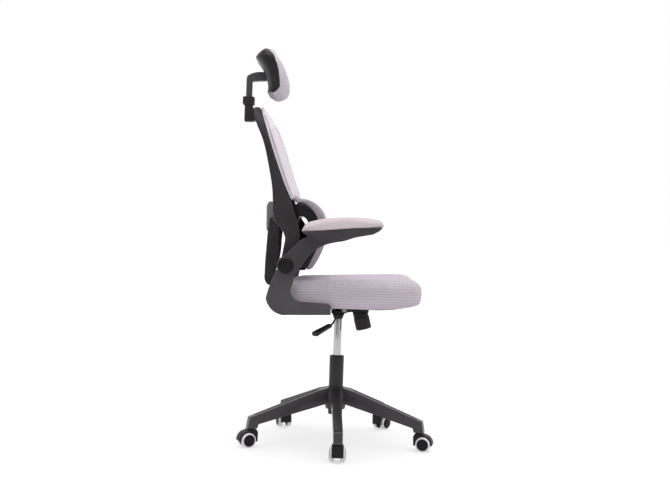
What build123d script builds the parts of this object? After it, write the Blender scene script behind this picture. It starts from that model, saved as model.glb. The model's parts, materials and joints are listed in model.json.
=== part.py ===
from build123d import *
import os
from math import cos, radians, sin

# Swivel task chair with a five-leg base, gas lift, tilt mechanism, padded seat,
# mesh back with sliding lumbar support, flip-up armrests and adjustable headrest.
# Millimetres. +Z is up, the origin is on the lift's axis at floor level, and the
# chair faces -Y. Side outlines are drawn as (Y, Z) on planes of constant X.

# ---- driving dimensions ----
LEGS = 5
FIRST_LEG = 182.0
STEM_CIRCLE = 292.0
LEG_WIDTH_HUB, LEG_WIDTH_END = 36.0, 29.0
HUB_TOP, HUB_BOTTOM = 192.0, 118.0
SOCKET_FOOT = 61.0

WHEEL_RADIUS, WHEEL_WIDTH, WHEEL_GAP = 24.5, 16.0, 19.2
TYRE_INNER = 19.5
TRAIL = 17.0
HOOD_RADIUS, HOOD_WIDTH = 30.0, 37.0
STEM_RADIUS, AXLE_RADIUS = 5.5, 3.0
RUNNING = 0.05
# yaw of each caster's trail, one per leg, starting with the first leg
CASTER_YAW = (0.0, -105.0, -42.0, 20.0, 117.0)

CYLINDER_RADIUS, CYLINDER_TOP = 24.5, 298.0
CYLINDER_FOOT = 104.0
TUBE_RADIUS, TUBE_TOP = 13.5, 440.0

PIVOT_Y, PIVOT_Z = -20.0, 457.0
HOUSING_HALF = 34.0
KNOB_TILT = 14.5
KNOB_RADIUS = 26.5

PLATE_Z, PLATE_THICK = 470.0, 3.0
BOARD_THICK, BOARD_HALF = 9.0, 205.0
CUSHION_HALF, CUSHION_FRONT, CUSHION_REAR = 234.0, -278.0, 186.0

BRACKET_INNER, BRACKET_THICK = 239.0, 16.0
FOOT_Y, FOOT_Z, FOOT_RADIUS = 212.0, 545.0, 7.0
ARM_Y, ARM_Z = 171.0, 609.0
ARM_HUB_INNER = BRACKET_INNER + BRACKET_THICK + 0.4
ARM_HUB_OUTER = 275.0
PAD_INNER, PAD_OUTER = 229.0, 309.0
PIVOT_BOLT_RADIUS = 6.0

POST_Y, POST_WIDTH, POST_DEPTH = 327.0, 26.0, 20.0
HEAD_PIN_Y, HEAD_PIN_Z = 264.0, 1248.0
HEAD_HALF = 138.0
LUMBAR_HALF = 172.0
RAIL_Z, RAIL_HEIGHT, RAIL_Y, RAIL_DEPTH = 762.0, 28.0, 209.0, 26.0
SIDES = {"left": 1, "right": -1}

os.makedirs("parts", exist_ok=True)


def save(part, name):
    """Label one finished piece and write its STEP file."""
    part.label = name
    export_step(part, f"parts/{name}.step")


def side_plane(x):
    """The plane of constant X on which side outlines (Y, Z) are drawn."""
    return Plane.YZ.offset(x)


def ring(inner, outer, low, high):
    """A round tube about the lift's axis."""
    with BuildPart() as tube:
        with BuildSketch(Plane.XY.offset(low)):
            Circle(outer)
            Circle(inner, mode=Mode.SUBTRACT)
        extrude(amount=high - low)
    return tube.part


# ---- base ----
def leg_top(r):
    """Height of a leg's top edge at radius r."""
    return 180.0 - (r - 70.0) * 0.353


def make_leg():
    """One leg along +X: tapered bar with a grooved top and a hollow underside."""
    groove, wall = 1.6, 5.0
    with BuildPart() as leg:
        with BuildSketch(Plane.XZ):
            with BuildLine():
                Polyline((20, 137), (34, 137), (273, 75), (277, SOCKET_FOOT), (309, SOCKET_FOOT),
                         (303, leg_top(303)), (70, leg_top(70)), (34, 189), (20, 189), close=True)
            make_face()
        extrude(amount=LEG_WIDTH_HUB / 2, both=True)
        with BuildSketch(Plane.XY):
            with BuildLine():
                Polyline((20, LEG_WIDTH_HUB / 2), (150, LEG_WIDTH_END / 2), (310, LEG_WIDTH_END / 2),
                         (310, -LEG_WIDTH_END / 2), (150, -LEG_WIDTH_END / 2),
                         (20, -LEG_WIDTH_HUB / 2), close=True)
            make_face()
        extrude(amount=HUB_TOP, mode=Mode.INTERSECT)
        fillet(leg.edges().filter_by(Axis.Y).sort_by(Axis.X)[-2:-1], radius=7)
        with BuildSketch(Plane.XZ):
            with BuildLine():
                Polyline((60, leg_top(60) + 9), (60, leg_top(60) - groove),
                         (284, leg_top(284) - groove), (284, leg_top(284) + 9), close=True)
            make_face()
        extrude(amount=LEG_WIDTH_END / 2 - 4.5, both=True, mode=Mode.SUBTRACT)
        with BuildSketch(Plane.XZ):
            with BuildLine():
                Polyline((52, 100), (52, 165), (70, 165), (262, leg_top(262) - 9), (262, 60), close=True)
            make_face()
        extrude(amount=LEG_WIDTH_END / 2 - wall, both=True, mode=Mode.SUBTRACT)
    return leg.part


leg_solid = make_leg()
with BuildPart() as star_base:
    with BuildSketch(Plane.XZ):
        with BuildLine():
            Polyline((0, HUB_BOTTOM), (33, HUB_BOTTOM), (36, 130), (36, 178), (30, 187), (29, HUB_TOP),
                     (0, HUB_TOP), close=True)
        make_face()
    revolve(axis=Axis.Z)
    with PolarLocations(0, LEGS, start_angle=FIRST_LEG):
        add(leg_solid)
    with BuildSketch(Plane.XY.offset(HUB_BOTTOM)):
        Circle(CYLINDER_RADIUS)
    extrude(amount=HUB_TOP - HUB_BOTTOM, mode=Mode.SUBTRACT)
    with BuildSketch(Plane.XY.offset(SOCKET_FOOT)):
        with PolarLocations(STEM_CIRCLE, LEGS, start_angle=FIRST_LEG):
            Circle(STEM_RADIUS)
    extrude(amount=30, mode=Mode.SUBTRACT)
save(star_base.part, "star_base")

STEM_FOOT, HOUSING_TOP = 36.0, 58.5
with BuildPart() as caster_stems:
    with BuildSketch(Plane.XY.offset(STEM_FOOT)):
        with PolarLocations(STEM_CIRCLE, LEGS, start_angle=FIRST_LEG):
            Circle(STEM_RADIUS)
    extrude(amount=SOCKET_FOOT + 28 - STEM_FOOT)
    with BuildSketch(Plane.XY.offset(HOUSING_TOP + 0.4)):
        with PolarLocations(STEM_CIRCLE, LEGS, start_angle=FIRST_LEG):
            Circle(8.5)
    extrude(amount=SOCKET_FOOT - HOUSING_TOP - 0.4)
save(caster_stems.part, "caster_stems")


# ---- casters, each drawn with its stem on Z and its trail along +X ----
def make_caster_housing():
    """Hood over both wheels, with a web between them that holds stem and axle."""
    pocket = WHEEL_RADIUS + 1.6
    web = WHEEL_GAP / 2 - 0.3
    with BuildPart() as housing:
        with BuildSketch(Plane.XZ):
            with BuildLine():
                Polyline((-15, 19), (-16, 50), (-11, HOUSING_TOP), (12, HOUSING_TOP), (24, 53), (24, 21),
                         close=True)
            make_face()
            with BuildSketch(mode=Mode.PRIVATE) as arch:
                with Locations((TRAIL, WHEEL_RADIUS)):
                    Circle(HOOD_RADIUS)
                with Locations((TRAIL, -30)):
                    Rectangle(90, 104, mode=Mode.SUBTRACT)
            add(arch.sketch)
        extrude(amount=HOOD_WIDTH / 2, both=True)
        fillet(housing.edges().filter_by(Axis.Z).group_by(Axis.X)[0], radius=4)
        for side in (1, -1):
            with BuildSketch(Plane.XZ.offset(side * web)):
                with Locations((TRAIL, WHEEL_RADIUS)):
                    Circle(pocket)
            extrude(amount=side * HOOD_WIDTH, mode=Mode.SUBTRACT)
        with BuildSketch(Plane.XZ):
            with Locations((TRAIL, WHEEL_RADIUS)):
                Circle(9)
        extrude(amount=web, both=True)
        with BuildSketch(Plane.XZ):
            with Locations((TRAIL, WHEEL_RADIUS)):
                Circle(AXLE_RADIUS)
        extrude(amount=HOOD_WIDTH, both=True, mode=Mode.SUBTRACT)
        with BuildSketch(Plane.XY.offset(STEM_FOOT - 0.4)):
            Circle(STEM_RADIUS + RUNNING)
        extrude(amount=40, mode=Mode.SUBTRACT)
    return housing.part


def make_axle():
    """Axle pin through the web, reaching into both wheels."""
    with BuildPart() as axle:
        with BuildSketch(Plane.XZ):
            with Locations((TRAIL, WHEEL_RADIUS)):
                Circle(AXLE_RADIUS)
        extrude(amount=21, both=True)
    return axle.part


def make_wheel(side):
    """Black disc core with a domed face, and a pale tyre round it."""
    inner = WHEEL_GAP / 2
    outer = inner + WHEEL_WIDTH
    axis = Axis((TRAIL, 0, WHEEL_RADIUS), (0, 1, 0))
    with BuildPart() as core:
        with BuildSketch(Plane.XY.offset(WHEEL_RADIUS)):
            with BuildLine():
                Polyline((TRAIL, side * 21.3), (TRAIL + AXLE_RADIUS + RUNNING, side * 21.3),
                         (TRAIL + AXLE_RADIUS + RUNNING, side * inner), (TRAIL + TYRE_INNER, side * inner),
                         (TRAIL + TYRE_INNER, side * (outer - 1)), (TRAIL + 17, side * outer),
                         (TRAIL + 9, side * (outer + 1)), (TRAIL, side * (outer + 1.2)), close=True)
            make_face()
        revolve(axis=axis)
    with BuildPart() as tyre:
        with BuildSketch(Plane.XY.offset(WHEEL_RADIUS)):
            with BuildLine():
                Polyline((TRAIL + TYRE_INNER, side * inner), (TRAIL + WHEEL_RADIUS - 1.5, side * inner),
                         (TRAIL + WHEEL_RADIUS, side * (inner + 2)),
                         (TRAIL + WHEEL_RADIUS, side * (outer - 5)),
                         (TRAIL + WHEEL_RADIUS - 2, side * (outer - 1.5)),
                         (TRAIL + TYRE_INNER, side * (outer - 1)), close=True)
            make_face()
        revolve(axis=axis)
    return Compound([core.part.solid(), tyre.part.solid()])


caster_housing = make_caster_housing()
caster_axle = make_axle()
caster_wheels = {"a": make_wheel(1), "b": make_wheel(-1)}
for number in range(LEGS):
    leg_angle = radians(FIRST_LEG + number * 360 / LEGS)
    place = Location((STEM_CIRCLE * cos(leg_angle), STEM_CIRCLE * sin(leg_angle), 0),
                     (0, 0, CASTER_YAW[number]))
    save(place * caster_housing, f"caster_{number + 1}_housing")
    save(place * caster_axle, f"caster_{number + 1}_axle")
    for wheel_side, wheel in caster_wheels.items():
        save(place * wheel, f"caster_{number + 1}_wheel_{wheel_side}")

# ---- gas lift ----
BUSH_FOOT = 250.0
with BuildPart() as gas_cylinder:
    with BuildSketch(Plane.XY.offset(CYLINDER_FOOT - 4)):
        Circle(CYLINDER_RADIUS)
    extrude(amount=CYLINDER_TOP - CYLINDER_FOOT + 4)
    chamfer(gas_cylinder.edges().group_by(Axis.Z)[-1], length=1)
    with BuildSketch(Plane.XY.offset(CYLINDER_FOOT)):
        Circle(CYLINDER_RADIUS - 2)
    extrude(amount=CYLINDER_TOP, mode=Mode.SUBTRACT)
    with BuildSketch(Plane.XY):
        Circle(5 + RUNNING)
    extrude(amount=CYLINDER_TOP, mode=Mode.SUBTRACT)
save(gas_cylinder.part, "gas_cylinder")
save(ring(TUBE_RADIUS + RUNNING, CYLINDER_RADIUS - 2, BUSH_FOOT, CYLINDER_TOP - 1.5), "guide_bush")
save(ring(8, 16, CYLINDER_FOOT, CYLINDER_FOOT + 6), "thrust_bearing")

TUBE_FOOT, PLUG_FOOT, PISTON_Z = 216.0, 400.0, 226.0
with BuildPart() as piston_rod:
    with BuildSketch(Plane.XY.offset(CYLINDER_FOOT - 6)):
        Circle(5)
    extrude(amount=PISTON_Z - CYLINDER_FOOT + 6)
    with BuildSketch(Plane.XY.offset(CYLINDER_FOOT + 6 + RUNNING)):
        Circle(9)
    extrude(amount=3)
    with BuildSketch(Plane.XY.offset(PISTON_Z)):
        Circle(11.45)
    extrude(amount=12)
save(piston_rod.part, "piston_rod")

with BuildPart() as gas_tube:
    with BuildSketch(Plane.XY.offset(TUBE_FOOT)):
        Circle(TUBE_RADIUS)
    extrude(amount=TUBE_TOP - TUBE_FOOT)
    with BuildSketch(Plane.XY.offset(TUBE_FOOT)):
        Circle(5 + RUNNING)
    extrude(amount=20, mode=Mode.SUBTRACT)
    with BuildSketch(Plane.XY.offset(TUBE_FOOT + 8)):
        Circle(11.5)
    extrude(amount=PLUG_FOOT - TUBE_FOOT - 8, mode=Mode.SUBTRACT)
    with BuildSketch(Plane.XY.offset(PLUG_FOOT)):
        Circle(4 + RUNNING)
    extrude(amount=TUBE_TOP, mode=Mode.SUBTRACT)
save(gas_tube.part, "gas_tube")

LEVER_Z, LEVER_RADIUS = 448.5, 3.2
LEVER_PIN_X, LEVER_PIN_RADIUS, LEVER_PIN_HALF = -30.0, 1.5, 13.0
with BuildPart() as release_pin:
    with BuildSketch(Plane.XY.offset(PLUG_FOOT + 4)):
        Circle(4)
    extrude(amount=LEVER_Z - LEVER_RADIUS - 0.3 - PLUG_FOOT - 4)
save(release_pin.part, "release_pin")

# ---- tilt mechanism ----
HOUSING_FLOOR, HOUSING_LID = 450.0, 464.0
KNOB_ORIGIN = (0, -71, 460)
knob_plane = Plane(origin=KNOB_ORIGIN, x_dir=(1, 0, 0),
                   z_dir=(0, sin(radians(KNOB_TILT)), cos(radians(KNOB_TILT))))
BOLT_RADIUS = 5.0
with BuildPart() as mechanism_housing:
    with BuildSketch(side_plane(0)):
        with BuildLine():
            Polyline((24, 446), (24, 452), (PIVOT_Y, HOUSING_LID - 1), (-30, HOUSING_LID),
                     (-102, HOUSING_LID), (-102, HOUSING_FLOOR), (-44, HOUSING_FLOOR), (-30, 448),
                     (-20, 443), (-12, 436), (12, 436), close=True)
        make_face()
    extrude(amount=HOUSING_HALF, both=True)
    with BuildSketch(Plane.XZ):
        with BuildLine():
            Polyline((0, 424), (15.5, 424), (17, 430), (24, 446), (0, 446), close=True)
        make_face()
    revolve(axis=Axis.Z)
    with BuildSketch(Plane.XY.offset(420)):
        Circle(TUBE_RADIUS + RUNNING)
    extrude(amount=TUBE_TOP + RUNNING - 420, mode=Mode.SUBTRACT)
    with BuildSketch(Plane.XY.offset(TUBE_TOP)):
        with Locations((-14, 0)):
            RectangleRounded(54, 18, 3)
    extrude(amount=40, mode=Mode.SUBTRACT)
    with BuildSketch(side_plane(0)):
        with Locations((PIVOT_Y, PIVOT_Z)):
            Circle(5)
    extrude(amount=HOUSING_HALF, both=True, mode=Mode.SUBTRACT)
    with BuildSketch(knob_plane.offset(-20)):
        Circle(BOLT_RADIUS + 0.3)
    extrude(amount=40, mode=Mode.SUBTRACT)
    with BuildSketch(knob_plane.offset(-4)):
        Circle(11)
    extrude(amount=30, mode=Mode.SUBTRACT)
    with BuildSketch(Plane.XZ):
        with Locations((LEVER_PIN_X, LEVER_Z)):
            Circle(LEVER_PIN_RADIUS)
    extrude(amount=LEVER_PIN_HALF, both=True, mode=Mode.SUBTRACT)
save(mechanism_housing.part, "mechanism_housing")

with BuildPart() as tilt_pin:
    with BuildSketch(side_plane(0)):
        with Locations((PIVOT_Y, PIVOT_Z)):
            Circle(5)
    extrude(amount=40, both=True)
    with BuildSketch(side_plane(40)):
        with Locations((PIVOT_Y, PIVOT_Z)):
            Circle(7.5)
    extrude(amount=3)
    with BuildSketch(side_plane(-40)):
        with Locations((PIVOT_Y, PIVOT_Z)):
            Circle(7.5)
    extrude(amount=-3)

with BuildPart() as lever_pin:
    with BuildSketch(Plane.XZ):
        with Locations((LEVER_PIN_X, LEVER_Z)):
            Circle(LEVER_PIN_RADIUS)
    extrude(amount=LEVER_PIN_HALF, both=True)
save(Compound([tilt_pin.part.solid(), lever_pin.part.solid()]), "housing_pins")

CUP_LENGTH, KNOB_LENGTH = 30.0, 41.0
with BuildPart() as spring_cup:
    with BuildSketch(knob_plane.offset(-CUP_LENGTH)):
        Circle(KNOB_RADIUS - 1)
        Circle(KNOB_RADIUS - 5, mode=Mode.SUBTRACT)
    extrude(amount=CUP_LENGTH + 10)
    with BuildSketch(Plane.XY.offset(HOUSING_FLOOR)):
        with Locations((0, -71)):
            Rectangle(90, 120)
    extrude(amount=60, mode=Mode.SUBTRACT)
save(spring_cup.part, "spring_cup")

with BuildPart() as tilt_spring:
    with BuildLine():
        coil = Helix(pitch=6, height=24, radius=15, center=knob_plane.offset(-43).origin,
                     direction=knob_plane.z_dir)
    with BuildSketch(Plane(origin=coil @ 0, z_dir=coil % 0)):
        Circle(2)
    sweep(is_frenet=True)
save(tilt_spring.part, "tilt_spring")

with BuildPart() as tension_knob:
    with BuildSketch(knob_plane.offset(-CUP_LENGTH - 0.4)):
        Circle(KNOB_RADIUS)
    extrude(amount=-KNOB_LENGTH)
    chamfer(tension_knob.edges().sort_by(Axis.Z)[0], length=3)
    with BuildSketch(knob_plane.offset(-CUP_LENGTH - 8)):
        with PolarLocations(KNOB_RADIUS + 0.4, 32):
            Circle(1.1)
    extrude(amount=-KNOB_LENGTH, mode=Mode.SUBTRACT)
    with BuildSketch(knob_plane.offset(-CUP_LENGTH - 0.4)):
        Circle(KNOB_RADIUS - 5)
    extrude(amount=-17, mode=Mode.SUBTRACT)
    with BuildSketch(knob_plane.offset(-64)):
        Circle(BOLT_RADIUS)
    extrude(amount=30, mode=Mode.SUBTRACT)
save(tension_knob.part, "tension_knob")

with BuildPart() as tension_bolt:
    with BuildSketch(knob_plane.offset(-64)):
        Circle(BOLT_RADIUS)
    extrude(amount=61)
    with BuildSketch(knob_plane.offset(-3.7)):
        RegularPolygon(9, 6)
    extrude(amount=4)
save(tension_bolt.part, "tension_bolt")

GRIP_END = Vector(-145, 75, 384)
ELBOW = Vector(-70, 19, 411)
GRIP_START = ELBOW + (GRIP_END - ELBOW) * 0.14
LEVER_ROUTE = ((8, 0, LEVER_Z), (-50, 0, LEVER_Z), (-56, 13, 420), ELBOW, GRIP_START)
with BuildPart() as lever_rod:
    with BuildLine():
        route = FilletPolyline(*LEVER_ROUTE, radius=6)
    with BuildSketch(Plane(origin=route @ 0, z_dir=route % 0)):
        Circle(LEVER_RADIUS)
    sweep()
    with BuildSketch(Plane.XZ):
        with Locations((LEVER_PIN_X, LEVER_Z)):
            Circle(LEVER_PIN_RADIUS + RUNNING)
    extrude(amount=LEVER_PIN_HALF, both=True, mode=Mode.SUBTRACT)
save(lever_rod.part, "lever_rod")

grip_way = GRIP_END - GRIP_START
grip_plane = Plane(origin=GRIP_START, x_dir=(0, 0, 1), z_dir=grip_way.normalized())
with BuildPart() as lever_grip:
    with BuildSketch(grip_plane.offset(0.05)):
        RectangleRounded(12, 18, 4)
    with BuildSketch(grip_plane.offset(grip_way.length)):
        RectangleRounded(15, 24, 5)
    loft()
save(lever_grip.part, "lever_grip")

# ---- seat ----
BOLT_HOLES = [(x, y) for x in (-75, 75) for y in (-85, 75)]
FLANGE_HOLES = [(side * 190, y) for side in (1, -1) for y in (45, 95, 145)]
SEAT_BOLT = 3.0
LUG_INNER, LUG_OUTER = HOUSING_HALF + 0.5, HOUSING_HALF + 4.5
with BuildPart() as seat_plate:
    with BuildSketch(Plane.XY.offset(PLATE_Z)):
        with Locations((0, -5)):
            RectangleRounded(190, 200, 18)
        with Locations(BOLT_HOLES):
            Circle(SEAT_BOLT, mode=Mode.SUBTRACT)
    extrude(amount=PLATE_THICK)
    for side in (1, -1):
        with BuildSketch(side_plane(side * LUG_INNER)):
            with BuildLine():
                Polyline((PIVOT_Y - 16, PLATE_Z), (PIVOT_Y - 10, PIVOT_Z - 10), (PIVOT_Y + 9, PIVOT_Z - 10),
                         (PIVOT_Y + 14, PLATE_Z), close=True)
            make_face()
            with Locations((PIVOT_Y, PIVOT_Z)):
                Circle(5 + RUNNING, mode=Mode.SUBTRACT)
        extrude(amount=side * (LUG_OUTER - LUG_INNER))
save(seat_plate.part, "seat_plate")

BOARD_Z = PLATE_Z + PLATE_THICK
BOARD_BEND, BOARD_FRONT, BOARD_RISE = -108.0, -236.0, 15.0
with BuildPart() as board_blank:
    with BuildSketch(side_plane(0)):
        with BuildLine():
            low = Line((175, BOARD_Z), (BOARD_BEND, BOARD_Z))
            curl = TangentArc(low @ 1, (BOARD_FRONT, BOARD_Z + BOARD_RISE), tangent=(-1, 0))
            edge = Line(curl @ 1, (BOARD_FRONT - 1, BOARD_Z + BOARD_RISE + BOARD_THICK))
            curl_top = TangentArc((BOARD_BEND, BOARD_Z + BOARD_THICK), edge @ 1, tangent=(-1, 0))
            high = Line(curl_top @ 0, (175, BOARD_Z + BOARD_THICK))
            Line(high @ 1, low @ 0)
        make_face()
    extrude(amount=BOARD_HALF, both=True)
    fillet(board_blank.edges().filter_by(Axis.Z), radius=30)

with BuildPart() as seat_board:
    add(board_blank.part)
    with BuildSketch(Plane.XY.offset(BOARD_Z)):
        with Locations(BOLT_HOLES + FLANGE_HOLES):
            Circle(SEAT_BOLT)
    extrude(amount=BOARD_THICK, mode=Mode.SUBTRACT)
save(seat_board.part, "seat_board")

with BuildPart() as seat_bolts:
    for holes, head_z in ((BOLT_HOLES, PLATE_Z), (FLANGE_HOLES, BOARD_Z - 8)):
        with BuildSketch(Plane.XY.offset(head_z)):
            with Locations(holes):
                Circle(SEAT_BOLT)
        extrude(amount=BOARD_Z + BOARD_THICK - head_z)
        with BuildSketch(Plane.XY.offset(head_z)):
            with Locations(holes):
                Circle(6)
        extrude(amount=-4)
save(seat_bolts.part, "seat_bolts")

CUSHION_TOP_REAR, CUSHION_TOP_FRONT = 549.0, 570.0
with BuildPart() as seat_cushion:
    with BuildSketch(side_plane(0)):
        with BuildLine():
            base = Line((CUSHION_REAR, BOARD_Z + 0.4), (BOARD_BEND, BOARD_Z + 0.4))
            curl = TangentArc(base @ 1, (BOARD_FRONT - 14, BOARD_Z + BOARD_RISE + 4), tangent=(-1, 0))
            chin = ThreePointArc(curl @ 1, (-271, 497), (CUSHION_FRONT, 511))
            front = Line(chin @ 1, (CUSHION_FRONT, 529))
            brow = ThreePointArc(front @ 1, (-266, 558), (-238, CUSHION_TOP_FRONT))
            top = Line(brow @ 1, (CUSHION_REAR, CUSHION_TOP_REAR))
            Line(top @ 1, base @ 0)
        make_face()
    extrude(amount=CUSHION_HALF + 1, both=True)
    with BuildSketch(Plane.XY):
        with Locations((0, (CUSHION_FRONT + CUSHION_REAR) / 2)):
            RectangleRounded(2 * CUSHION_HALF, CUSHION_REAR - CUSHION_FRONT - 1, 58)
    extrude(amount=700, mode=Mode.INTERSECT)
    add(board_blank.part, mode=Mode.SUBTRACT)
save(seat_cushion.part, "seat_cushion")


# ---- side brackets: J-shaped, with a flange under the seat board ----
def make_bracket(side):
    """One J bracket with its rounded head at the armrest's pivot."""
    with BuildPart() as bracket:
        with BuildSketch(side_plane(side * BRACKET_INNER)):
            with BuildLine():
                foot = Line((25, 457), (178, 452))
                heel = ThreePointArc(foot @ 1, (216, 472), (232, 504))
                spine = ThreePointArc(heel @ 1, (221, 544), (197, 599))
                head = ThreePointArc(spine @ 1, (171, 637), (143, 609))
                throat = ThreePointArc(head @ 1, (144, 575), (154, 535))
                inner = ThreePointArc(throat @ 1, (147, 509), (119, 496))
                shelf = Line(inner @ 1, (38, 493))
                toe = ThreePointArc(shelf @ 1, (29, 489.5), (25, 481))
                Line(toe @ 1, foot @ 0)
            make_face()
            with Locations((ARM_Y, ARM_Z)):
                Circle(PIVOT_BOLT_RADIUS, mode=Mode.SUBTRACT)
            with Locations((FOOT_Y, FOOT_Z)):
                Circle(SEAT_BOLT, mode=Mode.SUBTRACT)
        extrude(amount=side * BRACKET_THICK)
        with BuildSketch(Plane.XY.offset(BOARD_Z - 8)):
            with Locations((side * (BRACKET_INNER + 160) / 2, 95)):
                Rectangle(BRACKET_INNER - 160, 140)
            with Locations([(side * 190, y) for y in (45, 95, 145)]):
                Circle(SEAT_BOLT, mode=Mode.SUBTRACT)
        extrude(amount=8)
    return bracket.part


for side_name, side in SIDES.items():
    save(make_bracket(side), f"bracket_{side_name}")

# ---- back frame: side outline cut by a smooth front outline ----
FRAME_TOP, FRAME_CORNER = 1120.0, 112.0
FRAME_SIDE = ((238.6, 541), (224, 690), (218, 820), (214, 950), (201, 1040), (172, 1090),
              (FRAME_CORNER, FRAME_TOP))
MEMBER = 26.0


def front_block(side, margin, foot, top):
    """Solid with the front outline (X, Z): smooth sides and a slightly crowned top."""
    points = [(x - margin, z - margin * (z > 1100)) for x, z in side]
    with BuildPart() as block:
        with BuildSketch(Plane.XZ.offset(-400)):
            with BuildLine():
                right = Spline(*points)
                left = Spline(*[(-x, z) for x, z in points])
                ThreePointArc(right @ 1, (0, top), left @ 1)
                Polyline(right @ 0, (points[0][0], foot), (-points[0][0], foot), left @ 0)
            make_face()
        extrude(amount=400)
    return block.part


# central spine: two arms from the rail's underside meet in one foot
SPINE_TOP = RAIL_Z - RAIL_HEIGHT / 2
with BuildPart() as back_spine:
    with BuildSketch(side_plane(0)):
        with BuildLine():
            rear = Spline((237, SPINE_TOP + 12), (244, 715), (251, 650), (254, 567))
            ankle = ThreePointArc(rear @ 1, (252, 546), (241, 531))
            toe = Line(ankle @ 1, (FOOT_Y, FOOT_Z - 11))
            instep = ThreePointArc(toe @ 1, (FOOT_Y - 11, FOOT_Z), (FOOT_Y, FOOT_Z + 11))
            shin = Spline(instep @ 1, (217, 574), (207, 622), (203, 685), (200, SPINE_TOP))
            Polyline(shin @ 1, (222.5, SPINE_TOP), (222.5, SPINE_TOP + 12), rear @ 0)
        make_face()
    extrude(amount=110, both=True)
    with BuildSketch(Plane.XZ.offset(-400)):
        with BuildLine():
            Polyline((108, SPINE_TOP + 12), (103, SPINE_TOP - 10), (57, 683), (31, 640), (29, 500),
                     (-29, 500), (-31, 640), (-57, 683), (-103, SPINE_TOP - 10), (-108, SPINE_TOP + 12),
                     (-74, SPINE_TOP + 12), (-74, SPINE_TOP), (0, 646), (74, SPINE_TOP),
                     (74, SPINE_TOP + 12), close=True)
        make_face()
    extrude(amount=400, mode=Mode.INTERSECT)
    with BuildSketch(side_plane(0)):
        with Locations((FOOT_Y, FOOT_Z)):
            Circle(FOOT_RADIUS + RUNNING)
    extrude(amount=60, both=True, mode=Mode.SUBTRACT)

with BuildPart() as back_frame:
    with BuildSketch(side_plane(0)):
        with BuildLine():
            rear = Spline((298, FRAME_TOP), (291, 1078), (265, 1018), (236, 911), (226, 860), (222, 815),
                          (219, 775), (206, 738))
            crotch = ThreePointArc(rear @ 1, (189, 720), (178, 692))
            block = Line(crotch @ 1, (188, 631))
            heel = Line(block @ 1, (186, 590))
            sole = Line(heel @ 1, (160, 590))
            instep = Line(sole @ 1, (147, 640))
            knee = Line(instep @ 1, (131, 695))
            front = Spline(knee @ 1, (136, 730), (165, 812), (198, 890), (233, 985), (268, 1089),
                           (280, FRAME_TOP + 1))
            Line(front @ 1, rear @ 0)
        make_face()
    extrude(amount=240, both=True)
    add(front_block(FRAME_SIDE, 0, 500, FRAME_TOP + 6), mode=Mode.INTERSECT)
    add(front_block(FRAME_SIDE, MEMBER, 500, FRAME_TOP - 22), mode=Mode.SUBTRACT)
    with BuildSketch(side_plane(0)):
        with Locations((RAIL_Y, RAIL_Z)):
            RectangleRounded(RAIL_DEPTH, RAIL_HEIGHT, 6)
    extrude(amount=205, both=True)
    with BuildSketch(side_plane(0)):
        with Locations((184, 832)):
            RectangleRounded(22, 16, 5)
    extrude(amount=200, both=True)
    with BuildSketch(side_plane(0)):
        with Locations((ARM_Y, ARM_Z)):
            Circle(PIVOT_BOLT_RADIUS)
    extrude(amount=240, both=True, mode=Mode.SUBTRACT)
    add(back_spine.part)
save(back_frame.part, "back_frame")

# the spine's foot sits on a bar between the two brackets
with BuildPart() as foot_bar:
    with BuildSketch(side_plane(0)):
        with Locations((FOOT_Y, FOOT_Z)):
            Circle(FOOT_RADIUS)
    extrude(amount=BRACKET_INNER, both=True)
    with BuildSketch(side_plane(0)):
        with Locations((FOOT_Y, FOOT_Z)):
            Circle(SEAT_BOLT)
    extrude(amount=BRACKET_INNER + BRACKET_THICK, both=True)
save(foot_bar.part, "foot_bar")

with BuildPart() as arm_pivot_bolts:
    for side in (1, -1):
        with BuildSketch(side_plane(side * (BRACKET_INNER - 8))):
            with Locations((ARM_Y, ARM_Z)):
                Circle(PIVOT_BOLT_RADIUS)
        extrude(amount=side * (ARM_HUB_OUTER - 3 - BRACKET_INNER + 8))
save(arm_pivot_bolts.part, "arm_pivot_bolts")

MESH_LOW, MESH_TOP = 820.0, 1126.0
with BuildPart() as back_mesh:
    with BuildSketch(side_plane(0)):
        with BuildLine():
            seam = Spline((163, MESH_LOW - 2), (195.5, 890), (230.5, 985), (265.5, 1089),
                          (277.5, MESH_TOP - 5))
            lip = Line(seam @ 1, (274, MESH_TOP))
            face = Spline(lip @ 1, (252, 1098), (230, 1068), (202, 1000), (173, 915), (146, 845))
            chin = ThreePointArc(face @ 1, (140, 833), (148, MESH_LOW))
            Line(chin @ 1, seam @ 0)
        make_face()
    extrude(amount=230, both=True)
    add(front_block(FRAME_SIDE[2:], 5, 800, MESH_TOP), mode=Mode.INTERSECT)
    with BuildSketch(side_plane(0)):
        with BuildLine():
            hollow = Spline((268, 1096), (246, 1069), (221, 1004), (188, 915), (164, 850))
            Polyline(hollow @ 1, (184, 850), (300, 1096), hollow @ 0)
        make_face()
    extrude(amount=FRAME_CORNER + 50, both=True, mode=Mode.SUBTRACT)
save(back_mesh.part, "back_mesh")

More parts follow.
